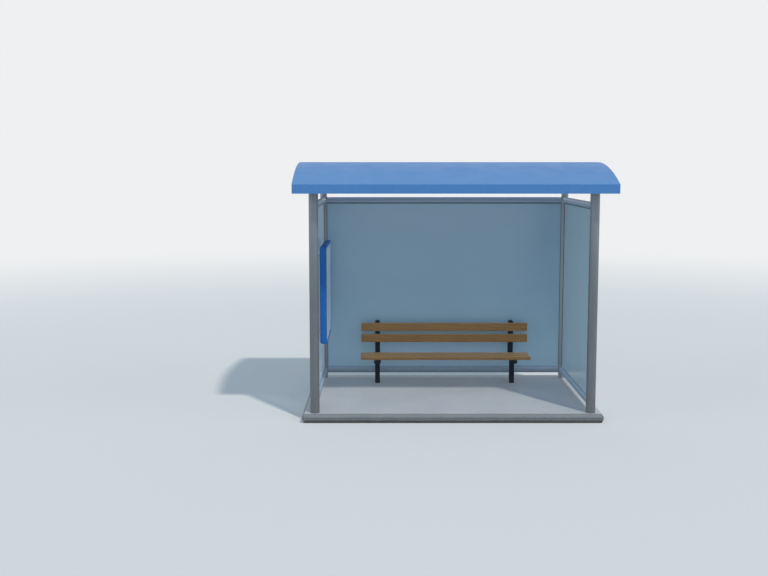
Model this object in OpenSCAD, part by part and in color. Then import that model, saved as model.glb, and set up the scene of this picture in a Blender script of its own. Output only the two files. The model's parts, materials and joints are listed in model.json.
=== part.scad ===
// Arched-roof bus shelter with a glazed frame, a bench and a display case.
// Millimetres, up is +Z, the open front faces -Y, the slab's underside is at Z = 0.

/* [Shelter] */

// Distance between the post axes along the front
post_span = 3000; // [2600:10:3800]

// Distance between the front and rear post axes
post_depth = 1920; // [1600:10:2200]

// Height of the roof's lower edge above the slab
clear_height = 2380; // [2250:10:2700]

/* [Slab] */

// Thickness of the slab
slab_height = 106; // [100:2:180]

// Slab beyond the post axes at each side
slab_side = 136; // [110:2:180]

// Slab beyond the axes of the front posts
slab_front = 78; // [78:2:130]

// Slab beyond the axes of the rear posts
slab_rear = 184; // [110:2:220]

// Depth of the bevels around the slab's top, bottom and corners
slab_bevel = 25; // [16:1:25]

// Height of the bevels along the slab's top and bottom
slab_bevel_h = 36; // [25:1:40]

/* [Frame tubes] */

// Outer diameter of the front posts
post_d = 102; // [90:1:106]

// Outer diameter of the rear posts
rear_post_d = 84; // [78:1:102]

// Wall of the posts
post_wall = 5; // [4:0.5:7]

// Outer diameter of the rails
rail_d = 76; // [70:1:84]

// Wall of the rails
rail_wall = 4; // [3:0.5:5]

// Distance of the top rails' axes below the roof's lower edge
top_rail_drop = 138; // [110:2:200]

// Height of the bottom rails' axes above the slab
bottom_rail_height = 106; // [95:1:160]

/* [Glazing] */

// Thickness of the glass
glass_t = 10; // [8:1:12]

// Width of the slots that hold the glass and its gasket
slot_w = 22; // [20:1:24]

// Distance that the gasket stands out of the tubes
gasket_lip = 4; // [2:0.5:6]

/* [Roof] */

// Overhang of the roof beyond the post axes at each side
roof_side = 209; // [160:1:260]

// Overhang of the roof beyond the post axes at the front and rear
roof_eave = 255; // [200:5:300]

// Height of the vertical fascia
fascia_height = 96; // [80:1:120]

// Rise of the curved roof above the fascia
roof_rise = 234; // [200:2:280]

// Thickness of the curved roof panel
roof_skin_t = 20; // [14:1:26]

// Thickness of the fascia and the end panels
roof_plate_t = 6; // [4:0.5:8]

// Depth of the arched ribs under the roof panel
rib_depth = 50; // [40:1:60]

// Width of the arched ribs
rib_w = 40; // [30:1:60]

/* [Display case] */

// Length of the display case along the side
case_length = 980; // [800:2:1100]

// Height of the display case
case_height = 1106; // [900:2:1200]

// Depth of the display case
case_depth = 76; // [66:1:84]

// Height of the display case's underside above the slab
case_base = 672; // [600:2:760]

// Width of the display case's frame
case_border = 30; // [26:1:60]

/* [Bench] */

// Length of the bench
bench_length = 2060; // [1760:10:2300]

// Height of the seat above the slab
seat_height = 364; // [340:2:440]

// Distance between the two supports
support_span = 1656; // [1300:4:1660]

// Width of one seat slat
seat_slat_w = 106; // [95:1:112]

// Thickness of the seat slats
seat_slat_t = 36; // [28:1:40]

// Height of one backrest slat
back_slat_h = 101; // [90:1:115]

/* [Hidden] */

// Fine facets stand for true curves
round_fn = 96;
arch_fn = 720;

// Post and rail positions
post_x = post_span / 2;
post_y = post_depth / 2;
post_r = post_d / 2;
rear_post_r = rear_post_d / 2;
top_rail_z = slab_height + clear_height - top_rail_drop;
bottom_rail_z = slab_height + bottom_rail_height;

// Glass edges measured from the axes of the tubes that hold them
edge_from_post = 22;
edge_from_rail = 12;
gasket_base = 4;

// Roof outline, one shallow circular arc from the front eave to the rear eave
roof_bottom = slab_height + clear_height;
roof_spring = roof_bottom + fascia_height;
roof_half = post_y + roof_eave;
roof_x = post_x + roof_side;
roof_r = (roof_half * roof_half + roof_rise * roof_rise) / (2 * roof_rise);
arc_centre_z = roof_spring + roof_rise - roof_r;
inner_half = roof_half - roof_plate_t;

// Beams under the ribs
beam_w = 100;
beam_h = 110;
beam_wall = 5;
beam_z = roof_bottom + 20;

// Display case position, hung on the inside of the left glass
case_gap = 29;
case_x = -post_x + glass_t / 2 + case_gap;
case_z = slab_height + case_base;
case_bevel = 18;
case_face_bevel = 4;
standoff_inset = 125;
standoff_y = case_length / 2 - standoff_inset;
standoff_z = case_height / 2 - standoff_inset;
standoff_hole_r = 9;

// Bench position, close to the rear glass
seat_gap = 11;
seat_depth = 3 * seat_slat_w + 2 * seat_gap;
seat_z = slab_height + seat_height;
seat_setback = 565;
seat_y = post_y - seat_setback;
leg_setback = 245;
back_slat_t = 30;
back_y = seat_y + seat_depth + 18;
upright_w = 60;
upright_t = 54;
upright_y = back_y + back_slat_t;
back_rise = 124;
back_lower_z = seat_z + back_rise;
back_gap = 38;
bearer_w = 82;
bearer_h = 48;
bearer_z = seat_z - seat_slat_t - bearer_h;
bearer_corner = 20;
upright_corner = 21;
leg_bevel = 8;
slat_bevel = 7;
slat_end_r = 12;

// Rectangle with rounded corners, centred
module rounded_area(w, h, r) {
    square([w - 2 * r, h], center = true);
    square([w, h - 2 * r], center = true);
    for (x = [-1, 1], y = [-1, 1])
        translate([x * (w / 2 - r), y * (h / 2 - r)])
            circle(r = r, $fn = round_fn);
}

// Rectangle with bevelled corners, centred, the bevels b wide and c high
module bevelled_area(w, h, b, c) {
    polygon([
        [-w / 2 + b, -h / 2], [w / 2 - b, -h / 2],
        [w / 2, -h / 2 + c], [w / 2, h / 2 - c],
        [w / 2 - b, h / 2], [-w / 2 + b, h / 2],
        [-w / 2, h / 2 - c], [-w / 2, -h / 2 + c]]);
}

// Extrudes an area drawn in Y and Z along X
module along_x(x0, x1) {
    translate([x0, 0, 0])
        rotate([90, 0, 90])
            linear_extrude(height = x1 - x0)
                children();
}

// Extrudes an area drawn in X and Z along Y
module along_y(y0, y1) {
    translate([0, y1, 0])
        rotate([90, 0, 0])
            linear_extrude(height = y1 - y0)
                children();
}

// Block with all its edges bevelled, centred, the bevels b wide and c high
module bevelled_block(w, d, h, b, c) {
    intersection() {
        linear_extrude(height = h, center = true)
            bevelled_area(w, d, b, b);
        along_y(-d, d)
            bevelled_area(w, h, b, c);
        along_x(-w, w)
            bevelled_area(d, h, b, c);
    }
}

module base_slab() {
    w = post_span + 2 * slab_side;
    d = post_depth + slab_front + slab_rear;
    color([0.56, 0.57, 0.58])
        translate([0, (slab_rear - slab_front) / 2, slab_height / 2])
            bevelled_block(w, d, slab_height, slab_bevel, slab_bevel_h);
}

// Height range of the slots in the posts
slot_z0 = bottom_rail_z + edge_from_rail - gasket_base;
slot_z1 = top_rail_z - edge_from_rail + gasket_base;

// Slot in a post towards a direction given in degrees
module post_slot(direction) {
    rotate([0, 0, direction])
        translate([0, -slot_w / 2, slot_z0])
            cube([post_d, slot_w, slot_z1 - slot_z0]);
}

// Hollow post with one slot for each pane it holds
module post(x, y, r, directions) {
    color([0.42, 0.44, 0.47])
        translate([x, y, 0])
            difference() {
                translate([0, 0, slab_height])
                    cylinder(r = r, h = beam_z - slab_height, $fn = round_fn);
                translate([0, 0, slab_height - 1])
                    cylinder(r = r - post_wall, h = beam_z - slab_height + 2, $fn = round_fn);
                for (direction = directions)
                    post_slot(direction);
            }
}

module post_front_left() {
    post(-post_x, -post_y, post_r, [90]);
}

module post_front_right() {
    post(post_x, -post_y, post_r, [90]);
}

module post_rear_left() {
    post(-post_x, post_y, rear_post_r, [0, -90]);
}

module post_rear_right() {
    post(post_x, post_y, rear_post_r, [180, -90]);
}

// Outside of one post, used to cope the ends of the rails
module post_outside(x, y, r) {
    translate([x, y, 0])
        cylinder(r = r, h = roof_bottom, $fn = round_fn);
}

module post_outsides() {
    for (x = [-post_x, post_x]) {
        post_outside(x, -post_y, post_r);
        post_outside(x, post_y, rear_post_r);
    }
}

// Hollow rail along X with a slot towards the glass
module rail(length, slot_side) {
    difference() {
        rotate([0, 90, 0])
            cylinder(r = rail_d / 2, h = length, center = true, $fn = round_fn);
        rotate([0, 90, 0])
            cylinder(r = rail_d / 2 - rail_wall, h = length + 2, center = true, $fn = round_fn);
        translate([-length, -slot_w / 2, slot_side > 0 ? 0 : -rail_d])
            cube([2 * length, slot_w, rail_d]);
    }
}

// Rail between the rear posts
module rear_rail(z, slot_side) {
    color([0.42, 0.44, 0.47])
        difference() {
            translate([0, post_y, z])
                rail(post_span, slot_side);
            post_outsides();
        }
}

// Rail between a front post and a rear post
module side_rail(x, z, slot_side) {
    color([0.42, 0.44, 0.47])
        difference() {
            translate([x, 0, z])
                rotate([0, 0, 90])
                    rail(post_depth, slot_side);
            post_outsides();
        }
}

module top_rail_rear() {
    rear_rail(top_rail_z, -1);
}

module top_rail_left() {
    side_rail(-post_x, top_rail_z, -1);
}

module top_rail_right() {
    side_rail(post_x, top_rail_z, -1);
}

module bottom_rail_rear() {
    rear_rail(bottom_rail_z, 1);
}

module bottom_rail_left() {
    side_rail(-post_x, bottom_rail_z, 1);
}

module bottom_rail_right() {
    side_rail(post_x, bottom_rail_z, 1);
}

// Pane size for a bay between post axes
function pane_w(bay) = bay - 2 * edge_from_post;
pane_h = top_rail_z - bottom_rail_z - 2 * edge_from_rail;
pane_z = (top_rail_z + bottom_rail_z) / 2;

module pane(bay) {
    cube([pane_w(bay), glass_t, pane_h], center = true);
}

module glass_rear() {
    color([0.45, 0.58, 0.68, 0.5])
        translate([0, post_y, pane_z])
            pane(post_span);
}

module glass_left() {
    color([0.45, 0.58, 0.68, 0.5])
        difference() {
            translate([-post_x, 0, pane_z])
                rotate([0, 0, 90])
                    pane(post_depth);
            for (y = [-1, 1], z = [-1, 1])
                translate([-post_x, y * standoff_y, case_z + case_height / 2 + z * standoff_z])
                    rotate([0, 90, 0])
                        cylinder(r = standoff_hole_r, h = 4 * glass_t, center = true, $fn = round_fn);
        }
}

module glass_right() {
    color([0.45, 0.58, 0.68, 0.5])
        translate([post_x, 0, pane_z])
            rotate([0, 0, 90])
                pane(post_depth);
}

// Channel of rubber around all four edges of a pane between posts of radius r0 and r1
module gasket(bay, r0, r1) {
    sight_x0 = r0 + gasket_lip - bay / 2;
    sight_x1 = bay / 2 - r1 - gasket_lip;
    sight_z0 = bottom_rail_z + rail_d / 2 + gasket_lip;
    sight_z1 = top_rail_z - rail_d / 2 - gasket_lip;
    color([0.08, 0.08, 0.09])
        difference() {
            translate([0, 0, pane_z])
                cube([pane_w(bay) + 2 * gasket_base, slot_w, pane_h + 2 * gasket_base], center = true);
            translate([0, 0, pane_z])
                pane(bay);
            translate([sight_x0, -slot_w, sight_z0])
                cube([sight_x1 - sight_x0, 2 * slot_w, sight_z1 - sight_z0]);
        }
}

module gasket_rear() {
    translate([0, post_y, 0])
        gasket(post_span, rear_post_r, rear_post_r);
}

module gasket_left() {
    translate([-post_x, 0, 0])
        rotate([0, 0, 90])
            gasket(post_depth, post_r, rear_post_r);
}

module gasket_right() {
    translate([post_x, 0, 0])
        rotate([0, 0, 90])
            gasket(post_depth, post_r, rear_post_r);
}

// Area under the arch, moved inwards by a depth and grown past its straight sides
module arch_area(depth, grow) {
    half = inner_half + grow;
    intersection() {
        translate([0, arc_centre_z])
            circle(r = roof_r - depth, $fn = arch_fn);
        translate([-half, roof_bottom - grow])
            square([2 * half, fascia_height + roof_rise + 2 * grow]);
    }
}

// Band that follows the arch between two depths
module arch_band(depth0, depth1) {
    difference() {
        arch_area(depth0, 0);
        arch_area(depth1, 10);
    }
}

module roof_skin() {
    color([0.16, 0.36, 0.68])
        along_x(-roof_x + roof_plate_t, roof_x - roof_plate_t)
            arch_band(0, roof_skin_t);
}

// Upright fascia with a lip folded inwards along its lower edge
module fascia() {
    color([0.12, 0.31, 0.62])
        along_x(-roof_x, roof_x)
            difference() {
                translate([-roof_half, roof_bottom])
                    square([36, fascia_height]);
                translate([-inner_half, roof_bottom + roof_plate_t])
                    square([36, fascia_height]);
            }
}

module roof_fascia_front() {
    fascia();
}

module roof_fascia_rear() {
    mirror([0, 1, 0])
        fascia();
}

// Arched panel that closes one end of the roof
module roof_end(x) {
    color([0.12, 0.31, 0.62])
        difference() {
            along_x(x, x + roof_plate_t)
                arch_area(0, 0);
            roof_fascia_front();
            roof_fascia_rear();
        }
}

module roof_end_left() {
    roof_end(-roof_x);
}

module roof_end_right() {
    roof_end(roof_x - roof_plate_t);
}

// Box along the roof over the posts of one side
module beam_block(y, inset) {
    translate([-roof_x + roof_plate_t, y - beam_w / 2 + inset, beam_z + inset])
        cube([2 * (roof_x - roof_plate_t), beam_w - 2 * inset, beam_h - 2 * inset]);
}

module beam(y) {
    color([0.42, 0.44, 0.47])
        difference() {
            beam_block(y, 0);
            beam_block(y, beam_wall);
        }
}

module roof_beam_front() {
    beam(-post_y);
}

module roof_beam_rear() {
    beam(post_y);
}

module roof_ribs() {
    color([0.42, 0.44, 0.47])
        difference() {
            for (i = [-2 : 2])
                along_x(i * post_x / 2 - rib_w / 2, i * post_x / 2 + rib_w / 2)
                    arch_band(roof_skin_t, roof_skin_t + rib_depth);
            beam_block(-post_y, 0);
            beam_block(post_y, 0);
            roof_fascia_front();
            roof_fascia_rear();
        }
}

// Area in the plane of the side glass, centred on the display case
module case_area(border, r) {
    translate([0, case_z + case_height / 2])
        rounded_area(case_length - 2 * border, case_height - 2 * border, r);
}

case_front_x = case_x + case_depth;
case_panel_t = 8;
case_window_t = 6;
case_sheet_t = 3;
case_lip = 2;
case_rebate = 10;
window_x = case_front_x - case_lip - case_window_t;
sheet_x = window_x - case_sheet_t;

// Cross-section of the case with wide bevels at the back and small ones at the face
module case_section(size) {
    half = size / 2;
    polygon([
        [case_x, case_bevel - half], [case_x + case_bevel, -half],
        [case_front_x - case_face_bevel, -half], [case_front_x, case_face_bevel - half],
        [case_front_x, half - case_face_bevel], [case_front_x - case_face_bevel, half],
        [case_x + case_bevel, half], [case_x, half - case_bevel]]);
}

module case_block() {
    intersection() {
        along_x(case_x, case_front_x)
            case_area(0, case_bevel);
        along_y(-case_length, case_length)
            translate([0, case_z + case_height / 2])
                case_section(case_height);
        translate([0, 0, case_z])
            linear_extrude(height = case_height)
                case_section(case_length);
    }
}

module case_frame() {
    color([0.09, 0.30, 0.62])
        difference() {
            case_block();
            along_x(case_x - 1, case_front_x + 1)
                case_area(case_border, 6);
            along_x(case_x - 1, case_x + case_panel_t)
                case_area(case_border - case_rebate / 2, 6);
            along_x(sheet_x, window_x + case_window_t)
                case_area(case_border - case_rebate, 6);
        }
}

module case_back_panel() {
    color([0.30, 0.32, 0.35])
        along_x(case_x, case_x + case_panel_t)
            case_area(case_border - case_rebate / 2, 6);
}

module case_sheet() {
    color([0.80, 0.80, 0.79])
        along_x(sheet_x, window_x)
            case_area(case_border - case_rebate, 6);
}

module case_window() {
    color([0.75, 0.80, 0.84, 0.35])
        along_x(window_x, window_x + case_window_t)
            case_area(case_border - case_rebate, 6);
}

// Spacers, bolts and outer discs that clamp the case to the glass
module case_standoffs() {
    color([0.55, 0.57, 0.60])
        for (y = [-1, 1], z = [-1, 1])
            translate([-post_x, y * standoff_y, case_z + case_height / 2 + z * standoff_z])
                rotate([0, 90, 0]) {
                    translate([0, 0, glass_t / 2])
                        cylinder(r = 14, h = case_gap, $fn = round_fn);
                    translate([0, 0, -glass_t / 2 - 8])
                        cylinder(r = 22, h = 8, $fn = round_fn);
                    translate([0, 0, -glass_t])
                        cylinder(r = 6, h = 2 * glass_t, $fn = round_fn);
                }
}

// Support with a bevelled leg, a rounded bearer and an upright with rounded top corners
module bench_support(x) {
    bearer_y0 = seat_y + 8;
    bearer_y1 = upright_y + upright_t;
    leg_y = seat_y + leg_setback;
    leg_top = bearer_z + bearer_h / 2;
    upright_foot = bearer_z + bearer_h / 3;
    upright_top = back_lower_z + 2 * back_slat_h + back_gap + 28;
    color([0.07, 0.10, 0.13])
        translate([x, 0, 0]) {
            translate([0, leg_y, (slab_height + leg_top) / 2])
                bevelled_block(upright_w, upright_w, leg_top - slab_height, leg_bevel, leg_bevel);
            along_y(bearer_y0, bearer_y1)
                translate([0, bearer_z + bearer_h / 2])
                    rounded_area(bearer_w, bearer_h, bearer_corner);
            along_y(upright_y, upright_y + upright_t)
                translate([0, (upright_foot + upright_top) / 2])
                    rounded_area(upright_w, upright_top - upright_foot, upright_corner);
        }
}

module bench_support_left() {
    bench_support(-support_span / 2);
}

module bench_support_right() {
    bench_support(support_span / 2);
}

// Slat of the bench along X with bevels on its long edges
module slat(y, z, depth, height) {
    along_x(-bench_length / 2, bench_length / 2)
        translate([y + depth / 2, z + height / 2])
            bevelled_area(depth, height, slat_bevel, slat_bevel);
}

// Seat slat with its corners rounded as seen from above
module seat_slat(i) {
    y = seat_y + i * (seat_slat_w + seat_gap);
    z = seat_z - seat_slat_t;
    color([0.52, 0.34, 0.18])
        intersection() {
            slat(y, z, seat_slat_w, seat_slat_t);
            translate([0, y + seat_slat_w / 2, z])
                linear_extrude(height = seat_slat_t)
                    rounded_area(bench_length, seat_slat_w, slat_end_r);
        }
}

// Backrest slat with its corners rounded as seen from the front
module back_slat(z) {
    color([0.52, 0.34, 0.18])
        intersection() {
            slat(back_y, z, back_slat_t, back_slat_h);
            along_y(back_y, back_y + back_slat_t)
                translate([0, z + back_slat_h / 2])
                    rounded_area(bench_length, back_slat_h, slat_end_r);
        }
}

module seat_slat_front() {
    seat_slat(0);
}

module seat_slat_middle() {
    seat_slat(1);
}

module seat_slat_rear() {
    seat_slat(2);
}

module back_slat_lower() {
    back_slat(back_lower_z);
}

module back_slat_upper() {
    back_slat(back_lower_z + back_slat_h + back_gap);
}

base_slab();
post_front_left();
post_front_right();
post_rear_left();
post_rear_right();
top_rail_rear();
top_rail_left();
top_rail_right();
bottom_rail_rear();
bottom_rail_left();
bottom_rail_right();
glass_rear();
glass_left();
glass_right();
gasket_rear();
gasket_left();
gasket_right();
roof_skin();
roof_fascia_front();
roof_fascia_rear();
roof_end_left();
roof_end_right();
roof_ribs();
roof_beam_front();
roof_beam_rear();
case_frame();
case_back_panel();
case_sheet();
case_window();
case_standoffs();
bench_support_left();
bench_support_right();
seat_slat_front();
seat_slat_middle();
seat_slat_rear();
back_slat_lower();
back_slat_upper();
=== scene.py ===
# %% [markdown]
# # A glass bus shelter with an arched roof
# The solids of the shelter come from its CAD model and are already the right size and in the
# right place. This lesson dresses them: it sets up a camera and a plain studio, builds the small
# effects that several finishes share, and then makes one finish for each kind of surface.
# Small pieces that the solids leave out, the bolt heads and weld beads, are added at the end.

# %% Load the solids
import json
import math
import bmesh
import bpy
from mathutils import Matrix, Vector


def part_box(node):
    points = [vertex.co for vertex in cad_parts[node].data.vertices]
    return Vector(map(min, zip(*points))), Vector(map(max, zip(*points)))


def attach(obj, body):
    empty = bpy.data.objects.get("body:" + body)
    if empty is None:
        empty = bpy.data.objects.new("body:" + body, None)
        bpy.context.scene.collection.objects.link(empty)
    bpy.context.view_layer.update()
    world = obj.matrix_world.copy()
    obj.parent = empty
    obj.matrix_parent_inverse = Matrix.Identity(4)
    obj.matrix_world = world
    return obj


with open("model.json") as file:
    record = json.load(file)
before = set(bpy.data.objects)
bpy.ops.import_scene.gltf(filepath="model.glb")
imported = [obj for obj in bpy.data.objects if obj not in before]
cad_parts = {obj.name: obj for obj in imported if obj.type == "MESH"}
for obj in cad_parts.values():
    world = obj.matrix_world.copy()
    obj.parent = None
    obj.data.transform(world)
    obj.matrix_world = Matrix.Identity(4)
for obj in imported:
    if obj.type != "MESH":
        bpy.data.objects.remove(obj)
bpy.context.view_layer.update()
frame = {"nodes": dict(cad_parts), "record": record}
nodes = frame["nodes"]
print("solids:", len(nodes))

# %% [markdown]
# The camera stands in front of the open side, a little left of the middle and level with the
# roof. It looks down so little that the posts stay almost upright in the picture. Its place was
# worked out from the straight edges of the shelter, so it is written here as plain numbers.

# %% Camera
eye = (-0.748, -12.345, 2.785)
look_down = 0.115
camera_data = bpy.data.cameras.new("street_camera")
camera_data.lens = 50.0
camera_data.sensor_width = 36.0
camera_data.clip_end = 300.0
camera = bpy.data.objects.new("street_camera", camera_data)
camera.location = eye
camera.rotation_euler = (math.pi / 2 - look_down, 0.0, 0.0)
bpy.context.scene.collection.objects.link(camera)
bpy.context.scene.camera = camera
bpy.context.scene.view_settings.view_transform = "Standard"
print("camera at", eye, "looking down by", round(math.degrees(look_down), 1), "degrees")

# %% [markdown]
# Every surface below is a small tree of nodes. Writing a node, its settings and its wires in
# one call keeps the trees readable. An input is either a plain value or the output of another
# node, and the first helper sees which one it was given. Node names all start with the same
# word, so the second helper adds it.

# %% Nodes and wires
def feed(tree, socket, value):
    if isinstance(value, bpy.types.NodeSocket):
        tree.links.new(value, socket)
    else:
        socket.default_value = value


def put(tree, kind, inputs=None, **settings):
    node = tree.nodes.new("ShaderNode" + kind)
    for name, value in settings.items():
        setattr(node, name, value)
    for name, value in (inputs or {}).items():
        feed(tree, node.inputs[name], value)
    return node


def calc(tree, operation, first, second=0.0, clamp=False):
    node = put(tree, "Math", {0: first, 1: second}, operation=operation, use_clamp=clamp)
    return node.outputs[0]


def mix_shaders(tree, share, first, second):
    inputs = {0: share, 1: first.outputs[0], 2: second.outputs[0]}
    return put(tree, "MixShader", inputs).outputs[0]


print("helpers for nodes:", feed.__name__, put.__name__, calc.__name__, mix_shaders.__name__)

# %% [markdown]
# The studio has a pale surround and an even, slightly blue light from all sides. A world shader
# could do both with one colour, but a pale world strong enough to look white would flood the
# shelter with light. So two backgrounds are mixed with the Light Path node: the camera, glass
# and shiny metal see the pale one, and every other ray takes its light from the dimmer blue one.

# %% Studio surround
surround = (0.86, 0.87, 0.88, 1.0)
sky_blue = (0.68, 0.85, 1.0, 1.0)
world = bpy.data.worlds.new("studio")
bpy.context.scene.world = world
world.use_nodes = True
sky = world.node_tree
sky.nodes.clear()
rays = put(sky, "LightPath").outputs
seen = calc(sky, "MAXIMUM", rays["Is Camera Ray"], rays["Is Transmission Ray"])
seen = calc(sky, "MAXIMUM", seen, rays["Is Glossy Ray"])
even_light = put(sky, "Background", {"Color": sky_blue, "Strength": 0.40})
pale_view = put(sky, "Background", {"Color": surround, "Strength": 1.0})
put(sky, "OutputWorld", {"Surface": mix_shaders(sky, seen, even_light, pale_view)})
print("surround colour:", surround[:3])

# %% [markdown]
# Light from the front right gives the shelter its shape. A sun lamp has a direction but no place,
# so its shadow falls the same way everywhere, and its angle sets how soft the shadow's edge is.
# Under the roof one sun would leave the glass and the bench too dark. Area lamps could be put in
# there, but they would show in the panes. Three low fill suns that cast no shadow reach the
# inside through the roof and the walls, and their cool tint keeps the shade bluer than the light.

# %% One soft sun and three fills
def soft_sun(name, azimuth, elevation, strength, spread, colour, shadow):
    data = bpy.data.lights.new(name, "SUN")
    data.angle = math.radians(spread)
    data.energy = strength
    data.color = colour
    data.use_shadow = shadow
    lamp = bpy.data.objects.new(name, data)
    turn, lift = math.radians(azimuth), math.radians(elevation)
    outward = math.cos(lift)
    towards = Vector((math.sin(turn) * outward, -math.cos(turn) * outward, math.sin(lift)))
    lamp.rotation_euler = towards.to_track_quat("Z", "Y").to_euler()
    bpy.context.scene.collection.objects.link(lamp)
    return lamp


warm = (1.0, 0.94, 0.84)
cool = (0.78, 0.91, 1.0)
fill = {"spread": 60.0, "colour": cool, "shadow": False}
lamps = [
    soft_sun("key_sun", azimuth=32.0, elevation=52.0, strength=1.75, spread=3.0, colour=warm, shadow=True),
    soft_sun("fill_left", azimuth=-70.0, elevation=12.0, strength=1.5, **fill),
    soft_sun("fill_right", azimuth=70.0, elevation=12.0, strength=1.5, **fill),
    soft_sun("fill_front", azimuth=0.0, elevation=8.0, strength=0.95, **fill)]
print("lamps:", [lamp.name for lamp in lamps])

# %% [markdown]
# Many masks below start as some measure, such as a distance, a height or the value of a noise.
# A Map Range node turns the stretch of it that matters into 0 to 1. Its smooth step eases in and
# out, so a border between two tones has no hard line. Swapping the two ends turns a mask over.

# %% From a measure to a mask
def between(tree, value, low, high, to_low=0.0, to_high=1.0):
    node = put(tree, "MapRange", {
        "Value": value, "From Min": low, "From Max": high,
        "To Min": to_low, "To Max": to_high}, interpolation_type="SMOOTHSTEP")
    return node.outputs["Result"]


print("helper for masks:", between.__name__)

# %% [markdown]
# The floor is one large square that catches the shadow. A plain square would end in a hard
# horizon line. Here its shader changes with the distance from the shelter, from a matt surface
# that takes shadows to a glow of the surround's own colour, so floor and background melt together.

# %% Floor that fades into the surround
matt_grey = (0.66, 0.67, 0.68, 1.0)


def studio_floor(reach, fade_start, fade_end):
    mesh = bpy.data.meshes.new("studio_floor")
    corners = [(-reach, -reach, 0.0), (reach, -reach, 0.0), (reach, reach, 0.0), (-reach, reach, 0.0)]
    mesh.from_pydata(corners, [], [(0, 1, 2, 3)])
    floor = bpy.data.objects.new("studio_floor", mesh)
    bpy.context.scene.collection.objects.link(floor)
    mat = bpy.data.materials.new("studio_floor")
    mat.use_nodes = True
    tree = mat.node_tree
    tree.nodes.clear()
    spot = put(tree, "TexCoord").outputs["Object"]
    distance = put(tree, "VectorMath", {0: spot}, operation="LENGTH").outputs["Value"]
    faded = between(tree, distance, fade_start, fade_end)
    matt = put(tree, "BsdfDiffuse", {"Color": matt_grey})
    glow = put(tree, "Emission", {"Color": surround, "Strength": 1.0})
    put(tree, "OutputMaterial", {"Surface": mix_shaders(tree, faded, matt, glow)})
    mesh.materials.append(mat)
    return floor


floor = studio_floor(reach=60.0, fade_start=7.0, fade_end=24.0)
print("floor:", floor.name, "with a side of", floor.dimensions.x, "m")

# %% [markdown]
# Five effects turn up in several finishes: soft blotches, fine grains, worn edges, dirt that
# splashes up from the ground, and streaks that rain leaves on upright faces. Copying their nodes
# into every material would work, but a mend would then be needed in each copy. A node group is
# built once and placed in each finish with that finish's own numbers. Each gives back a mask
# between 0 and 1, and the finish decides what the mask changes.

# %% A way to build and use a shared effect
def new_effect(name, sockets):
    group = bpy.data.node_groups.new(name, "ShaderNodeTree")
    for label, start in sockets.items():
        socket = group.interface.new_socket(name=label, in_out="INPUT", socket_type="NodeSocketFloat")
        socket.default_value = start
    group.interface.new_socket(name="Mask", in_out="OUTPUT", socket_type="NodeSocketFloat")
    given = group.nodes.new("NodeGroupInput").outputs
    mask = group.nodes.new("NodeGroupOutput").inputs["Mask"]
    return group, given, mask


def use_effect(tree, group, **values):
    node = put(tree, "Group", node_tree=group)
    for label, value in values.items():
        node.inputs[label].default_value = value
    return node.outputs["Mask"]


print("helpers for effects:", new_effect.__name__, use_effect.__name__)

# %% [markdown]
# The effects need to know where on the shelter a point lies. An unwrapped mesh could tell them,
# but the solids have none. The Object coordinate needs no unwrapping, and it is in metres here,
# so every mark keeps its real size on every solid. Noise read at that place gives the pattern.
# If the place is squeezed along one axis first, the noise comes out stretched along it.

# %% Place and noise
def object_spot(tree):
    return put(tree, "TexCoord").outputs["Object"]


def axes(tree, vector):
    parts = put(tree, "SeparateXYZ", {"Vector": vector}).outputs
    return parts["X"], parts["Y"], parts["Z"]


def squeeze(tree, spot, factors):
    return put(tree, "VectorMath", {0: spot, 1: factors}, operation="MULTIPLY").outputs["Vector"]


def noise(tree, spot, scale, detail, roughness=0.5):
    return put(tree, "TexNoise", {
        "Vector": spot, "Scale": scale, "Detail": detail, "Roughness": roughness}).outputs["Fac"]


print("helpers for patterns:", object_spot.__name__, axes.__name__, squeeze.__name__, noise.__name__)

# %% [markdown]
# No large surface has quite the same tone all over. Cloudy noise gives soft blotches of every
# size at once. Contrast sets how much of the noise is kept between the darkest and the palest
# tone: a small number gives patches with clear borders, a large one a gentle drift.

# %% Soft blotches
blotches, given, mask = new_effect("blotches", {"Scale": 2.0, "Contrast": 0.3})
cloud = noise(blotches, object_spot(blotches), given["Scale"], detail=5.0, roughness=0.6)
darkest = calc(blotches, "SUBTRACT", 0.5, given["Contrast"])
palest = calc(blotches, "ADD", 0.5, given["Contrast"])
feed(blotches, mask, between(blotches, cloud, darkest, palest))
print("effect:", blotches.name)

# %% [markdown]
# Sand in concrete, the orange peel of a coat and the fibres of a board are all grains of a
# millimetre or so. Real displaced grains would need millions of faces. The same noise at a very
# high scale, with its middle values pushed apart, gives a speckle that colour and bump can share.

# %% Fine grains
grains, given, mask = new_effect("grains", {"Scale": 300.0, "Amount": 0.5})
speckle = noise(grains, object_spot(grains), given["Scale"], detail=2.0)
speckle = between(grains, speckle, 0.35, 0.65)
feed(grains, mask, calc(grains, "MULTIPLY", speckle, given["Amount"]))
print("effect:", grains.name)

# %% [markdown]
# Paint and concrete are knocked at their corners first. A baked map could hold such wear, but it
# would need an unwrapped mesh. The Bevel node does without: it gives the normal that a rounded
# corner would have, and where that disagrees with the surface's own normal there is an edge.
# Noise breaks the line up, because wear is never even.

# %% Worn edges
worn_edges, given, mask = new_effect("worn_edges", {"Width": 0.004, "Amount": 0.6})
rounded = put(worn_edges, "Bevel", {"Radius": given["Width"]}, samples=4).outputs["Normal"]
own_normal = put(worn_edges, "NewGeometry").outputs["Normal"]
agreement = put(worn_edges, "VectorMath", {0: rounded, 1: own_normal}, operation="DOT_PRODUCT")
edge = between(worn_edges, agreement.outputs["Value"], 0.995, 0.90)
patchy = noise(worn_edges, object_spot(worn_edges), scale=14.0, detail=6.0, roughness=0.7)
patchy = between(worn_edges, patchy, 0.42, 0.62)
worn = calc(worn_edges, "MULTIPLY", edge, patchy)
feed(worn_edges, mask, calc(worn_edges, "MULTIPLY", worn, given["Amount"]))
print("effect:", worn_edges.name)

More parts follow.
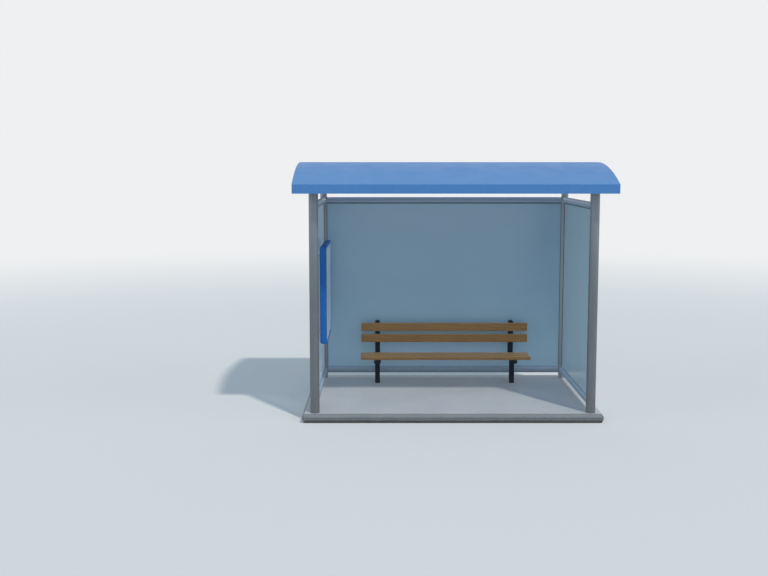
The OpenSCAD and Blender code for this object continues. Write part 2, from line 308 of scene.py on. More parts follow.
# %% [markdown]
# Rain throws dirt up from the ground. The mask is strong at one height and fades out at a
# greater one, and fine noise makes it uneven, as dried drops are.

# %% Dirt that splashes up from the ground
splashes, given, mask = new_effect("splashes", {"From": 0.12, "To": 0.5, "Amount": 0.6})
spot = object_spot(splashes)
low_down = between(splashes, axes(splashes, spot)[2], given["To"], given["From"])
drops = between(splashes, noise(splashes, spot, scale=22.0, detail=8.0, roughness=0.75), 0.38, 0.66)
uneven = calc(splashes, "ADD", 0.6, calc(splashes, "MULTIPLY", drops, 0.45))
soft = calc(splashes, "MULTIPLY", low_down, uneven)
feed(splashes, mask, calc(splashes, "MULTIPLY", soft, given["Amount"], clamp=True))
print("effect:", splashes.name)

# %% [markdown]
# Water runs straight down and leaves thin upright lines. They come from ordinary noise whose
# space is squeezed: with the height multiplied by a small number, every blob turns into a streak.

# %% Streaks left by rain
streaks, given, mask = new_effect("streaks", {"Across": 18.0, "Amount": 0.5})
long_in_height = (1.0, 1.0, 0.06)
upright = squeeze(streaks, object_spot(streaks), long_in_height)
thin = noise(streaks, upright, given["Across"], detail=4.0, roughness=0.65)
thin = between(streaks, thin, 0.5, 0.72)
feed(streaks, mask, calc(streaks, "MULTIPLY", thin, given["Amount"]))
print("effect:", streaks.name)

# %% [markdown]
# Each finish starts from the same empty material with one Principled shader. A second helper
# sets or wires the shader's sockets by name, and a third turns a height mask into a slightly
# uneven surface by bump, with the depth given in metres. All finishes are kept in one table,
# under the slot names that the record uses.

# %% An empty finish and a surface relief
def new_finish(name):
    mat = bpy.data.materials.new(name)
    mat.use_nodes = True
    tree = mat.node_tree
    tree.nodes.clear()
    shader = put(tree, "BsdfPrincipled")
    put(tree, "OutputMaterial", {"Surface": shader.outputs["BSDF"]})
    return mat, tree, shader


def set_shader(tree, shader, values):
    for name, value in values.items():
        feed(tree, shader.inputs[name], value)


def relief(tree, shader, height, depth, strength):
    bump = put(tree, "Bump", {"Height": height, "Distance": depth, "Strength": strength})
    feed(tree, shader.inputs["Normal"], bump.outputs["Normal"])


finishes = {}
print("helpers for finishes:", new_finish.__name__, set_shader.__name__, relief.__name__)

# %% [markdown]
# Colours are easier to judge as the numbers from 0 to 255 that a screen shows. Blender's shader
# sockets want linear light, so one small function turns the first kind into the second. The
# other lays one colour over another wherever a mask says so.

# %% Colours
def screen_colour(red, green, blue):
    def linear(value):
        value = value / 255.0
        return value / 12.92 if value <= 0.04045 else ((value + 0.055) / 1.055) ** 2.4
    return (linear(red), linear(green), linear(blue), 1.0)


def mix_colour(tree, mask, under, over):
    return put(tree, "Mix", {0: mask, 6: under, 7: over}, data_type="RGBA").outputs[2]


print("mid grey in linear light:", round(screen_colour(128, 128, 128)[0], 3))

# %% [markdown]
# Weather does not treat every place alike: the open front fades, dust settles where the roof
# keeps the rain off, and grime stays where nothing washes it away. Those places are read from
# the solids' boxes and not typed in, so they stay right if the shelter is made in another size.
# How far a face looks up is the height part of its normal: 1 on a floor, 0 on a wall.

# %% Places on the shelter
def looks_up(tree):
    return axes(tree, put(tree, "NewGeometry").outputs["Normal"])[2]


slab_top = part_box("base_slab")[1][2]
front_post_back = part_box("post_front_right")[1][1]
rear_post_side, rear_post_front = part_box("post_rear_right")[0][:2]
bottom_rail_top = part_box("bottom_rail_rear")[1][2]
top_rail_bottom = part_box("top_rail_rear")[0][2]
print("slab top", round(slab_top, 3), "rails", round(bottom_rail_top, 3), round(top_rail_bottom, 3))

# %% [markdown]
# The slab is cast concrete, steel-floated on top. Concrete is never one grey: it has wide
# cloudy blotches, a fine sandy grain, a few dark pores, and dirt near its edges. Its bevels and
# sides carry painted shade, and its underside a darker painted shadow, so the colour also follows
# how far a face looks up. The pores come from a cell pattern, where only the middle of some cells
# is kept, because plain noise has no round marks.

# %% Concrete
def pores(tree):
    spot = object_spot(tree)
    cells = put(tree, "TexVoronoi", {"Vector": spot, "Scale": 70.0, "Randomness": 1.0})
    round_spots = between(tree, cells.outputs["Distance"], 0.16, 0.08)
    here_and_there = between(tree, noise(tree, spot, scale=9.0, detail=2.0), 0.5, 0.7)
    return calc(tree, "MULTIPLY", round_spots, here_and_there)


def floated_top(tree, sandy):
    dark_cement = screen_colour(174, 178, 184)
    pale_cement = screen_colour(186, 189, 194)
    sand = screen_colour(160, 164, 170)
    cloudy = use_effect(tree, blotches, Scale=1.7, Contrast=0.22)
    return mix_colour(tree, sandy, mix_colour(tree, cloudy, dark_cement, pale_cement), sand)


def cast_concrete():
    mat, tree, shader = new_finish("cast_concrete")
    painted_bevel_shade = screen_colour(82, 86, 92)
    painted_underside_shadow = screen_colour(22, 24, 30)
    pore_grey = screen_colour(92, 95, 99)
    fresh_chip = screen_colour(186, 188, 190)
    dirt = screen_colour(112, 110, 105)
    sandy = use_effect(tree, grains, Scale=260.0, Amount=0.55)
    up = looks_up(tree)
    # Painted shade: bevels and sides darker than the top, the underside darker still.
    colour = mix_colour(tree, between(tree, up, 1.0, 0.42), floated_top(tree, sandy), painted_bevel_shade)
    colour = mix_colour(tree, between(tree, up, 0.0, -0.5), colour, painted_underside_shadow)
    pore = pores(tree)
    colour = mix_colour(tree, pore, colour, pore_grey)
    chipped = use_effect(tree, worn_edges, Width=0.012, Amount=0.55)
    colour = mix_colour(tree, chipped, colour, fresh_chip)
    dirty = use_effect(tree, splashes, From=0.0, To=slab_top - 0.006, Amount=0.45)
    colour = mix_colour(tree, dirty, colour, dirt)
    rough = between(tree, sandy, 0.0, 0.6, 0.72, 0.92)
    set_shader(tree, shader, {"Base Color": colour, "Roughness": rough})
    skin = calc(tree, "SUBTRACT", calc(tree, "MULTIPLY", sandy, 0.4), pore)
    relief(tree, shader, skin, depth=0.0012, strength=0.6)
    return mat


finishes["concrete"] = cast_concrete()
print("finish:", finishes["concrete"].name)

# %% [markdown]
# The posts and rails are steel tubes with a grey powder coat. The two front posts are a dull,
# dark grey, and painted light makes their upper part paler and bluer under the roof. Everything
# behind them is a paler, bluer copy of the coat, which is painted sky light. The tops of the rails
# carry painted reflections, the undersides beside the rubber a painted shade, and the rear posts
# are a little darker than the rails between them. Separate materials for all of these would show
# a seam at every joint. One material that blends by place and by the direction of the surface has
# none. The first function makes the colour of a front post, the second the colour of everything
# behind the front posts.

# %% Colours of the powder coat
def front_coat_with_painted_light(tree, cloudy, height, main, dark):
    # Painted light: the upper part of a front post is paler and bluer under the roof.
    painted_light_under_roof = screen_colour(99, 106, 114)
    colour = mix_colour(tree, cloudy, dark, main)
    return mix_colour(tree, between(tree, height, 1.2, 2.5), colour, painted_light_under_roof)


def rear_coat_with_painted_light(tree, side, depth, height, kept, painted_light_top, painted_underside_shade, pale):
    # Painted reflections on the tops of the rails: bluish at the rear, whitish at the sides.
    painted_rear_rail_reflection = screen_colour(197, 211, 234)
    painted_side_rail_reflection = screen_colour(236, 229, 221)
    at_side = between(tree, side, rear_post_side - 0.06, rear_post_side - 0.02)
    high_up = between(tree, height, top_rail_bottom - 0.4, top_rail_bottom - 0.2)
    top = mix_colour(tree, high_up, painted_light_top, mix_colour(tree, at_side, painted_rear_rail_reflection, painted_side_rail_reflection))
    up = looks_up(tree)
    # The base colour here is painted sky light, a paler and bluer copy of the coat, and faces that look up
    # take the painted light of the tops.
    colour = mix_colour(tree, between(tree, up, 0.1, 0.9), kept, top)
    # Painted shade on the faces that look down, beside the rubber.
    colour = mix_colour(tree, between(tree, up, -0.62, -0.85), colour, painted_underside_shade)
    # The rear posts take the pale grey, part of the same painted light.
    past_side = between(tree, side, rear_post_side - 0.008, rear_post_side - 0.002)
    past_front = between(tree, depth, rear_post_front - 0.008, rear_post_front - 0.001)
    return mix_colour(tree, calc(tree, "MULTIPLY", past_side, past_front), colour, pale)


print("front posts end at", round(front_post_back, 3), "and rear posts start at", round(rear_post_front, 3))

# %% [markdown]
# The coat itself has a very fine orange peel, picks up grime near the ground, and shows pale
# primer where an edge is knocked. Those marks lie over both colours, so they are put on after
# the two have been joined. Copies of the material could be recoloured by hand for other steel
# parts, but a function with the colours as arguments keeps them all alike.

# %% Grey powder coat
def powder_coat(name, main, pale, dark, kept, painted_light_top, painted_underside_shade):
    mat, tree, shader = new_finish(name)
    grime = screen_colour(80, 80, 78)
    side, depth, height = axes(tree, object_spot(tree))
    side = calc(tree, "ABSOLUTE", side)
    cloudy = use_effect(tree, blotches, Scale=3.0, Contrast=0.25)
    front = front_coat_with_painted_light(tree, cloudy, height, main, dark)
    rear = rear_coat_with_painted_light(tree, side, depth, height, kept, painted_light_top, painted_underside_shade, pale)
    # Behind the front posts the coat turns into its paler, bluer copy, which is painted sky light.
    behind = between(tree, depth, front_post_back - 0.021, front_post_back + 0.029)
    colour = mix_colour(tree, behind, front, rear)
    streaked = use_effect(tree, streaks, Across=30.0, Amount=0.12)
    colour = mix_colour(tree, streaked, colour, pale)
    dirty = use_effect(tree, splashes, From=slab_top + 0.024, To=0.9, Amount=0.32)
    colour = mix_colour(tree, dirty, colour, grime)
    knocked = use_effect(tree, worn_edges, Width=0.003, Amount=0.7)
    colour = mix_colour(tree, knocked, colour, pale)
    rough = between(tree, cloudy, 0.0, 1.0, 0.36, 0.46)
    rough = calc(tree, "ADD", rough, calc(tree, "MULTIPLY", dirty, 0.35), clamp=True)
    set_shader(tree, shader, {"Base Color": colour, "Roughness": rough})
    relief(tree, shader, use_effect(tree, grains, Scale=420.0, Amount=1.0), depth=0.0003, strength=0.35)
    return mat


print("helper for coated steel:", powder_coat.__name__)

# %% [markdown]
# The posts and rails show all the painted light and shade of the coat. The ribs and beams under
# the roof take the same steps with greys that lie closer together.

# %% Coated frame and roof steel
# The rear colour and the top colours below are painted light; the underside colour is painted shade.
finishes["frame_paint"] = powder_coat(
    "grey_powder_coat", main=screen_colour(84, 87, 92), pale=screen_colour(126, 132, 140),
    dark=screen_colour(81, 84, 89), kept=screen_colour(130, 145, 160),
    painted_light_top=screen_colour(174, 191, 208), painted_underside_shade=screen_colour(44, 52, 58))
finishes["roof_frame"] = powder_coat(
    "grey_roof_steel", main=screen_colour(92, 97, 104), pale=screen_colour(112, 118, 126),
    dark=screen_colour(88, 93, 100), kept=screen_colour(104, 114, 126),
    painted_light_top=screen_colour(116, 126, 138), painted_underside_shade=screen_colour(90, 98, 108))
print("finishes:", finishes["frame_paint"].name, finishes["roof_frame"].name)

# %% [markdown]
# The roof and the display case are painted blue. Faces that look up get a tone of their own:
# painted shade keeps the crown of the roof a deeper blue than the slopes below it, and painted
# light makes the tops of the fascias and the case paler. Both are the same step with another
# colour, so one function serves them all: one argument is the colour of the faces that look up,
# and level says how far up they have to look. Thin dirty lines run down to the eaves.

# %% Blue paint
def blue_paint(name, main, deep, upper, painted_top_amount, level, run_amount, gloss):
    mat, tree, shader = new_finish(name)
    dried_run = screen_colour(118, 150, 190)
    chalky_edge = screen_colour(150, 168, 192)
    colour = mix_colour(tree, use_effect(tree, blotches, Scale=1.3, Contrast=0.3), deep, main)
    settled = use_effect(tree, blotches, Scale=5.0, Contrast=0.35)
    # Faces that look up take a painted tone: painted shade on the roof crown, painted light on the tops of
    # fascias and case.
    painted_top_mask = calc(tree, "MULTIPLY", between(tree, looks_up(tree), level, 1.0), painted_top_amount)
    uneven = calc(tree, "ADD", 0.6, calc(tree, "MULTIPLY", settled, 0.4))
    colour = mix_colour(tree, calc(tree, "MULTIPLY", painted_top_mask, uneven), colour, upper)
    down_the_slope = squeeze(tree, object_spot(tree), (1.0, 0.05, 0.05))
    lines = noise(tree, down_the_slope, scale=24.0, detail=5.0, roughness=0.7)
    runs = calc(tree, "MULTIPLY", between(tree, lines, 0.5, 0.74), run_amount)
    colour = mix_colour(tree, runs, colour, dried_run)
    knocked = use_effect(tree, worn_edges, Width=0.003, Amount=0.5)
    colour = mix_colour(tree, knocked, colour, chalky_edge)
    rough = between(tree, settled, 0.0, 1.0, 0.38, 0.46)
    set_shader(tree, shader, {"Base Color": colour, "Roughness": rough, "Specular IOR Level": gloss})
    relief(tree, shader, use_effect(tree, grains, Scale=380.0, Amount=1.0), depth=0.0003, strength=0.3)
    return mat


print("helper for blue paint:", blue_paint.__name__)

# %% [markdown]
# The curved roof panel is the palest of the three and hardly shines: its blue holds its
# weathering and a painted reflection of the sky. The fascias and end panels stand upright and have
# kept their gloss. The case's blue is the darkest, a copy of the same paint with painted shade for
# its place inside the shelter.

# %% Blue roof, fascias and case
# The roof's pale blue holds a painted reflection of the sky.
finishes["roof_panel"] = blue_paint(
    "blue_roof_paint", main=screen_colour(78, 125, 177), deep=screen_colour(75, 123, 175),
    upper=screen_colour(54, 114, 175), painted_top_amount=1.0, level=0.93, run_amount=0.03, gloss=0.2)
finishes["roof_trim"] = blue_paint(
    "blue_fascia_paint", main=screen_colour(41, 99, 155), deep=screen_colour(38, 96, 152),
    upper=screen_colour(104, 142, 186), painted_top_amount=0.15, level=0.3, run_amount=0.05, gloss=0.5)
# The case is a darker copy of the blue, which is painted shade.
finishes["case_paint"] = blue_paint(
    "blue_case_paint", main=screen_colour(20, 88, 154), deep=screen_colour(17, 84, 150),
    upper=screen_colour(60, 110, 166), painted_top_amount=0.25, level=0.3, run_amount=0.02, gloss=0.25)
print("finishes:", [finishes[slot].name for slot in ("roof_panel", "roof_trim", "case_paint")])

# %% [markdown]
# Daylight gets into a real shelter through its glass. A path tracer finds that light only slowly,
# and the shadows of the panes would come out too dark. So the Alpha is lower for shadow rays and
# for the rays that a matt surface sends out. Each face of a tinted pane then lets about a third
# of that light straight through, and each face of the clear window nearly all of it, while the
# camera still sees the whole pane.

# %% Glass that lets light through
def let_light_through(tree, shader, kept):
    rays = put(tree, "LightPath").outputs
    passing = calc(tree, "MAXIMUM", rays["Is Shadow Ray"], rays["Is Diffuse Ray"])
    feed(tree, shader.inputs["Alpha"], between(tree, passing, 0.0, 1.0, 1.0, kept))


print("helper for glass:", let_light_through.__name__)

# %% [markdown]
# The panes are toughened glass with a grey-blue tint that hides most of what is behind them.
# Fully clear glass would show the pale studio instead, so only a small part of the shader's
# weight is in transmission and the rest is the tint's own colour. Wiped smears change the colour
# and the roughness. A paler film, most of it near the bottom rail and a little right under the
# roof, is painted light that lifts the shaded parts of the panes, and it makes them a little
# rougher too. Every view along a pane is paler, a painted reflection that Layer Weight gives. The
# roughness stays under about 0.27 all over: below that the render's noise filter treats a pane as
# glass, and a pane that crosses the line in patches comes out speckled.

# %% Tinted glass
def painted_light_film(tree):
    height = axes(tree, object_spot(tree))[2]
    # Painted light: paler near the bottom and just under the roof, where the panes lie in shade.
    painted_light_low = calc(tree, "MULTIPLY", between(tree, height, 1.3, 0.2), 0.5)
    painted_light_high = between(tree, height, top_rail_bottom - 0.51, top_rail_bottom - 0.06)
    return calc(tree, "ADD", painted_light_low, calc(tree, "MULTIPLY", painted_light_high, 0.12))


def glass_colour(tree, smears, painted_light_share):
    clean_tint = screen_colour(129, 156, 173)
    smeared_tint = screen_colour(131, 158, 175)
    dried_water = screen_colour(134, 160, 176)
    painted_light_tint = screen_colour(166, 190, 204)
    painted_reflection_slanting = screen_colour(156, 174, 181)
    painted_reflection_edge_on = screen_colour(196, 206, 212)
    colour = mix_colour(tree, smears, clean_tint, smeared_tint)
    colour = mix_colour(tree, use_effect(tree, streaks, Across=9.0, Amount=0.04), colour, dried_water)
    colour = mix_colour(tree, painted_light_share, colour, painted_light_tint)
    # Painted reflection: a pane seen along its face turns paler and whiter.
    flatness = put(tree, "LayerWeight", {"Blend": 0.5}).outputs["Facing"]
    colour = mix_colour(tree, between(tree, flatness, 0.5, 0.85), colour, painted_reflection_slanting)
    return mix_colour(tree, between(tree, flatness, 0.84, 0.96), colour, painted_reflection_edge_on)


def tinted_glass():
    mat, tree, shader = new_finish("tinted_glass")
    smears = use_effect(tree, blotches, Scale=2.6, Contrast=0.2)
    painted_light_share = painted_light_film(tree)
    colour = glass_colour(tree, smears, painted_light_share)
    rough = between(tree, smears, 0.0, 1.0, 0.22, 0.25)
    rough = calc(tree, "ADD", rough, calc(tree, "MULTIPLY", painted_light_share, 0.03))
    set_shader(tree, shader, {
        "Base Color": colour, "Roughness": rough, "Transmission Weight": 0.12, "IOR": 1.5})
    let_light_through(tree, shader, 0.7)
    return mat


finishes["glass"] = tinted_glass()
print("finish:", finishes["glass"].name)

# %% [markdown]
# The display case has a clear window over a bare sheet. The window is plain glass with hardly
# any colour, so it can be all transmission, with only faint smears in its roughness. The sheet
# is off-white board that has yellowed a little in patches and is not quite flat, which a very
# low bump shows without moving any of its faces.

# %% Clear window and bare sheet
def clear_window():
    mat, tree, shader = new_finish("clear_window")
    clean, wiped = (0.97, 0.97, 0.96, 1.0), (0.93, 0.94, 0.94, 1.0)
    smears = use_effect(tree, blotches, Scale=6.0, Contrast=0.2)
    colour = mix_colour(tree, smears, clean, wiped)
    rough = between(tree, smears, 0.0, 1.0, 0.01, 0.05)
    set_shader(tree, shader, {
        "Base Color": colour, "Roughness": rough, "Transmission Weight": 1.0, "IOR": 1.49})
    let_light_through(tree, shader, 0.1)
    return mat


def bare_board():
    mat, tree, shader = new_finish("bare_board")
    off_white = screen_colour(226, 224, 219)
    yellowed = screen_colour(218, 215, 207)
    fibre_grey = screen_colour(200, 199, 194)
    aged = use_effect(tree, blotches, Scale=3.0, Contrast=0.3)
    fibres = use_effect(tree, grains, Scale=500.0, Amount=0.25)
    colour = mix_colour(tree, fibres, mix_colour(tree, aged, off_white, yellowed), fibre_grey)
    rough = between(tree, fibres, 0.0, 0.25, 0.65, 0.85)
    set_shader(tree, shader, {"Base Color": colour, "Roughness": rough})
    relief(tree, shader, aged, depth=0.002, strength=0.3)
    return mat


finishes["case_window"] = clear_window()
finishes["sheet"] = bare_board()
print("finishes:", finishes["case_window"].name, finishes["sheet"].name)

# %% [markdown]
# The gaskets are dark grey rubber. Old rubber is dull, with a pale bloom in patches, which is
# only a matter of colour and a high roughness. Along the bottom rails the lowest centimetres of the
# lip take a pale grey-blue, a painted reflection that hides the dark lip there.

# %% Rubber
def gasket_rubber():
    mat, tree, shader = new_finish("gasket_rubber")
    rubber, bloomed = screen_colour(62, 66, 71), screen_colour(80, 84, 89)
    grain = screen_colour(54, 57, 62)
    painted_light_tint = screen_colour(118, 140, 166)
    bloom = use_effect(tree, blotches, Scale=8.0, Contrast=0.25)
    fine = use_effect(tree, grains, Scale=600.0, Amount=0.5)
    colour = mix_colour(tree, fine, mix_colour(tree, bloom, rubber, bloomed), grain)
    height = axes(tree, object_spot(tree))[2]
    # Painted reflection: the lowest centimetres of the lip along the bottom rails turn pale grey-blue.
    painted_light_lip = between(tree, height, bottom_rail_top + 0.027, bottom_rail_top + 0.014)
    colour = mix_colour(tree, painted_light_lip, colour, painted_light_tint)
    rough = between(tree, bloom, 0.0, 1.0, 0.6, 0.8)
    set_shader(tree, shader, {"Base Color": colour, "Roughness": rough})
    relief(tree, shader, fine, depth=0.0003, strength=0.4)
    return mat


finishes["gasket"] = gasket_rubber()
print("finish:", finishes["gasket"].name)

# %% [markdown]
# The back of the case is brushed aluminium and the small fixings are brushed steel. Such metal
# carries fine parallel lines from the belt that polished it. A Wave texture would give lines that
# are too regular. Noise that is stretched along one direction looks like real ones, and they show
# best in the roughness and the relief.

# %% Brushed metal
def brushed_metal(name, bright, dull, along):
    mat, tree, shader = new_finish(name)
    lines = noise(tree, squeeze(tree, object_spot(tree), along), scale=240.0, detail=3.0)
    colour = mix_colour(tree, lines, dull, bright)
    rough = between(tree, lines, 0.3, 0.7, 0.28, 0.46)
    set_shader(tree, shader, {"Base Color": colour, "Roughness": rough, "Metallic": 1.0})
    relief(tree, shader, lines, depth=0.0002, strength=0.3)
    return mat


finishes["case_panel"] = brushed_metal(
    "brushed_aluminium", bright=(0.62, 0.63, 0.65, 1.0), dull=(0.50, 0.51, 0.53, 1.0),
    along=(1.0, 0.03, 1.0))
finishes["fixings"] = brushed_metal(
    "brushed_steel", bright=(0.60, 0.60, 0.61, 1.0), dull=(0.46, 0.46, 0.48, 1.0),
    along=(1.0, 1.0, 0.1))
print("finishes:", finishes["case_panel"].name, finishes["fixings"].name)

# %% [markdown]
# The bench supports are cast iron under dark blue-black paint. A casting keeps the faint lumps
# of its sand mould, which medium blotches give as a low bump, and the paint has rubbed through
# to a browner tone on the edges. Old paint on iron has little gloss left, so the specular level
# is low and the roughness high.

# %% Painted iron
def painted_iron():
    mat, tree, shader = new_finish("painted_iron")
    hollows, lumps = screen_colour(14, 22, 32), screen_colour(22, 30, 40)
    bare_iron = screen_colour(84, 74, 66)
    dirt = screen_colour(58, 56, 54)
    lumpy = use_effect(tree, blotches, Scale=60.0, Contrast=0.3)
    colour = mix_colour(tree, lumpy, hollows, lumps)
    rubbed = use_effect(tree, worn_edges, Width=0.002, Amount=0.4)
    colour = mix_colour(tree, rubbed, colour, bare_iron)
    dirty = use_effect(tree, splashes, From=slab_top + 0.014, To=slab_top + 0.094, Amount=0.3)
    colour = mix_colour(tree, dirty, colour, dirt)
    rough = between(tree, lumpy, 0.0, 1.0, 0.62, 0.78)
    set_shader(tree, shader, {"Base Color": colour, "Roughness": rough, "Specular IOR Level": 0.2})
    relief(tree, shader, lumpy, depth=0.0008, strength=0.4)
    return mat


finishes["bench_iron"] = painted_iron()
print("finish:", finishes["bench_iron"].name)

# %% [markdown]
# The slats are brown hardwood. Wood grain is rings of growth that are cut lengthwise: bands
# that are long along the slat and narrow across it. A photograph of a board would do on one
# slat but would repeat on five. Bands bent by noise stand for the rings and differ from slat to
# slat, and a second stretched noise gives the fine fibres. The tops are paler, which is painted
# light, and the edges have greyed in the weather.

# %% Slats of hardwood
def grain_bands(tree, spot):
    board = squeeze(tree, spot, (0.35, 7.0, 7.0))
    bend = calc(tree, "MULTIPLY", noise(tree, board, scale=1.4, detail=4.0, roughness=0.55), 9.0)
    return put(tree, "TexWave", {
        "Vector": board, "Scale": 2.6, "Distortion": 7.0, "Detail": 3.0, "Detail Scale": 1.2,
        "Phase Offset": bend}, wave_type="BANDS", bands_direction="DIAGONAL").outputs["Fac"]


def oiled_hardwood():
    mat, tree, shader = new_finish("oiled_hardwood")
    spot = object_spot(tree)
    late_wood, early_wood = screen_colour(118, 80, 34), screen_colour(138, 98, 46)
    fibre_brown = screen_colour(106, 72, 32)
    faded_brown = screen_colour(148, 112, 60)
    painted_light_on_tops = screen_colour(198, 154, 106)
    weather_grey = screen_colour(138, 124, 106)
    bands = grain_bands(tree, spot)
    fibres = noise(tree, squeeze(tree, spot, (6.0, 220.0, 220.0)), scale=2.0, detail=4.0)
    colour = mix_colour(tree, bands, late_wood, early_wood)
    colour = mix_colour(tree, between(tree, fibres, 0.42, 0.70), colour, fibre_brown)
    faded = calc(tree, "MULTIPLY", use_effect(tree, blotches, Scale=2.2, Contrast=0.3), 0.3)
    colour = mix_colour(tree, faded, colour, faded_brown)
    # Painted light: faces that look up are paler.
    colour = mix_colour(tree, between(tree, looks_up(tree), 0.5, 1.0), colour, painted_light_on_tops)
    greyed = use_effect(tree, worn_edges, Width=0.004, Amount=0.3)
    colour = mix_colour(tree, greyed, colour, weather_grey)
    rough = between(tree, fibres, 0.3, 0.8, 0.46, 0.66)
    set_shader(tree, shader, {"Base Color": colour, "Roughness": rough})
    ridges = calc(tree, "ADD", fibres, calc(tree, "MULTIPLY", bands, 0.4))
    relief(tree, shader, ridges, depth=0.0008, strength=0.5)
    return mat


finishes["wood"] = oiled_hardwood()
print("finish:", finishes["wood"].name)

# %% [markdown]
# Each solid knows its finish by the slot that the record names for it, so one loop dresses them
# all. The solids carry their own normals from the CAD model: tubes and curved sheets already
# shade smoothly and real corners stay sharp, so their shading is left as it is.

# %% Dress the solids
slot_of = {row["node"]: row["material_slot"] for row in frame["record"]["subparts"]}
for name, solid in nodes.items():
    solid.data.materials.clear()
    solid.data.materials.append(finishes[slot_of[name]])
print("dressed:", len(slot_of), "solids with", len(set(slot_of.values())), "finishes")

# %% [markdown]
# The two kinds of small piece could be modelled by hand, but they repeat many times and their
# places follow from the solids. So loops build them as meshes, and all pieces of one kind share
# one object. Each object is then finished in the same way: it gets smooth shading and the
# material of its slot, and it is hung on the body it rides on.

# %% From a mesh to a finished piece
def finish_piece(mesh, name, slot_name):
    data = bpy.data.meshes.new(name)
    mesh.normal_update()
    mesh.to_mesh(data)
    mesh.free()
    for face in data.polygons:
        face.use_smooth = True
    piece = bpy.data.objects.new(name, data)
    bpy.context.scene.collection.objects.link(piece)
    data.materials.append(finishes[slot_name])
    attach(piece, "root")
    return piece


print("helper for pieces:", finish_piece.__name__)

# %% [markdown]
# A bolt head is a low dome with a short upright rim. A flattened sphere is close to it but has
# no rim, and at this size the rim's shadow is what makes a head stand out. So the outline is
# worked out as a few points and turned round the bolt's axis by a loop. It ends at the top,
# where the last ring closes in one point.

# %% Outline of a bolt head
def dome_profile(radius, height, steps=5):
    rim = height * 0.3
    points = [(radius, 0.0), (radius, rim)]
    for i in range(1, steps + 1):
        turn = math.pi / 2 * i / steps
        points.append((radius * math.cos(turn), rim + (height - rim) * math.sin(turn)))
    return points


print("outline of a head:", [(round(r, 4), round(h, 4)) for r, h in dome_profile(0.009, 0.005)])

# %% [markdown]
# Turned pieces and tubes are both stacks of rings, so two helpers serve the bolt heads and the
# weld beads alike: one puts the points of a ring round a centre, the other joins two rings with
# faces. Blender's own circle tool could make the rings too, but it would need a matrix for each,
# and two directions across the line are simpler to follow.

# %% Rings of points
def ring_of_points(mesh, centre, side, other, radius, count):
    turns = [2 * math.pi * k / count for k in range(count)]
    return [mesh.verts.new(centre + side * radius * math.cos(turn) + other * radius * math.sin(turn))
            for turn in turns]


def join_rings(mesh, lower, upper):
    for k in range(len(lower)):
        n = (k + 1) % len(lower)
        mesh.faces.new((lower[k], lower[n], upper[n], upper[k]))


print("helpers for rings:", ring_of_points.__name__, join_rings.__name__)

# %% [markdown]
# A head can point in any direction, so its rings need two more directions across the bolt. One
# is any direction at a right angle to the bolt, and the cross product gives the other.

# %% A dome head
def add_dome(mesh, centre, normal, radius, height, sides):
    centre, lift = Vector(centre), Vector(normal)
    side = lift.orthogonal().normalized()
    other = lift.cross(side)
    rings = [ring_of_points(mesh, centre + lift * up, side, other, reach, sides)
             for reach, up in dome_profile(radius, height)[:-1]]
    for lower, upper in zip(rings, rings[1:]):
        join_rings(mesh, lower, upper)
    top = mesh.verts.new(centre + lift * height)
    for k in range(sides):
        mesh.faces.new((rings[-1][k], rings[-1][(k + 1) % sides], top))
    mesh.faces.new(list(reversed(rings[0])))


print("helper for heads:", add_dome.__name__)

# %% [markdown]
# Each slat is held by two round-headed bolts at each support. They come from behind through the
# upright and from below through the bearer, so nothing shows on the side where people sit. The
# places follow from the boxes of the slats and supports. A head is sunk by half a millimetre,
# so that no light comes out from under it.

# %% Bolt heads of the bench
back_head = {"radius": 0.009, "height": 0.005, "sides": 16}
seat_head = {"radius": 0.008, "height": 0.005, "sides": 12}
back_bolt_step = 0.026
seat_bolt_step = 0.012
bearer_depth = 0.048
sunk = 0.0005

heads = bmesh.new()
for support in ("bench_support_left", "bench_support_right"):
    support_low, support_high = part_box(support)
    x = (support_low[0] + support_high[0]) / 2
    for slat in ("back_slat_lower", "back_slat_upper"):
        low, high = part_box(slat)
        for step in (-back_bolt_step, back_bolt_step):
            place = (x, support_high[1] - sunk, (low[2] + high[2]) / 2 + step)
            add_dome(heads, place, (0, 1, 0), **back_head)
    for slat in ("seat_slat_front", "seat_slat_middle", "seat_slat_rear"):
        low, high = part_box(slat)
        for step in (-seat_bolt_step, seat_bolt_step):
            place = (x + step, (low[1] + high[1]) / 2, low[2] - bearer_depth + sunk)
            add_dome(heads, place, (0, 0, -1), **seat_head)
bolt_heads = finish_piece(heads, "bench_bolt_heads", "fixings")
print("bolt heads:", len(bolt_heads.data.polygons), "faces")

# %% [markdown]
# The rails are welded to the posts all around. A weld bead is a thin uneven roll of metal that
# follows the line where two round tubes meet. A boolean of the two tubes would give that line,
# but a formula is shorter: a point at sideways distance s from the rail's axis lies as far out
# from the post's axis as the post's circle reaches there, which is the root of the post's
# radius squared less s squared.

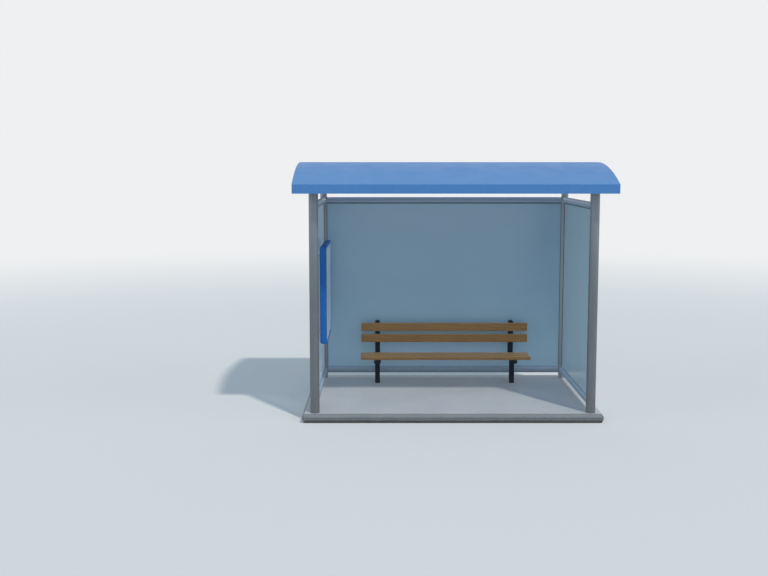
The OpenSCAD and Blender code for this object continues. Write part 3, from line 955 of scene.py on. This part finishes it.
# %% The line where a rail meets a post
def bead_line(post, rail, along, steps=48):
    post_low, post_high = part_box(post)
    rail_low, rail_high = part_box(rail)
    centre = [(a + b) / 2 for a, b in zip(post_low, post_high)]
    axis = [(a + b) / 2 for a, b in zip(rail_low, rail_high)]
    post_radius = (post_high[0] - post_low[0]) / 2
    rail_radius = (rail_high[2] - rail_low[2]) / 2
    towards = 1.0 if axis[along] > centre[along] else -1.0
    points = []
    for k in range(steps):
        turn = 2 * math.pi * k / steps
        sideways = rail_radius * math.cos(turn)
        point = Vector(centre)
        point[along] += towards * math.sqrt(post_radius ** 2 - sideways ** 2)
        point[1 - along] += sideways
        point.z = axis[2] + rail_radius * math.sin(turn)
        points.append(point)
    return points


line = bead_line("post_rear_right", "top_rail_rear", 0)
print("first line:", len(line), "points, length", round(sum(
    (b - a).length for a, b in zip(line, line[1:] + line[:1])), 3), "m")

# %% [markdown]
# The bead is a closed tube along that line. Its radius swells and shrinks by two sine waves that
# never fall into step, which looks like the drops of a weld and comes out the same every time.
# Each ring needs a direction across the line. Any fixed direction will do that the line itself
# never takes, so a slanting one is chosen.

# %% An uneven bead
bead_radius = 0.0028
bead_sides = 6
slanting = Vector((0.31, 0.57, 0.76))


def add_bead(mesh, points):
    count = len(points)
    rings = []
    for k, point in enumerate(points):
        ahead = (points[(k + 1) % count] - points[k - 1]).normalized()
        side = ahead.cross(slanting).normalized()
        swell = bead_radius * (1.0 + 0.22 * math.sin(k * 2.1) + 0.10 * math.sin(k * 5.3))
        rings.append(ring_of_points(mesh, point, side, ahead.cross(side), swell, bead_sides))
    for k in range(count):
        join_rings(mesh, rings[k], rings[(k + 1) % count])


print("bead:", round(bead_radius * 1000, 1), "mm in radius,", bead_sides, "sides")

# %% [markdown]
# Every rail has a bead at both ends, twelve in all. Those at the rear rails lie on the sides of
# the rear posts, along X, and those at the side rails face each other along Y.

# %% Weld beads where the rails meet the posts
along_x, along_y = 0, 1
beads = bmesh.new()
for rail in ("top_rail", "bottom_rail"):
    for side in ("left", "right"):
        add_bead(beads, bead_line("post_rear_" + side, rail + "_rear", along_x))
        add_bead(beads, bead_line("post_rear_" + side, rail + "_" + side, along_y))
        add_bead(beads, bead_line("post_front_" + side, rail + "_" + side, along_y))
weld_beads = finish_piece(beads, "weld_beads", "frame_paint")
print("weld beads:", len(weld_beads.data.polygons), "faces")
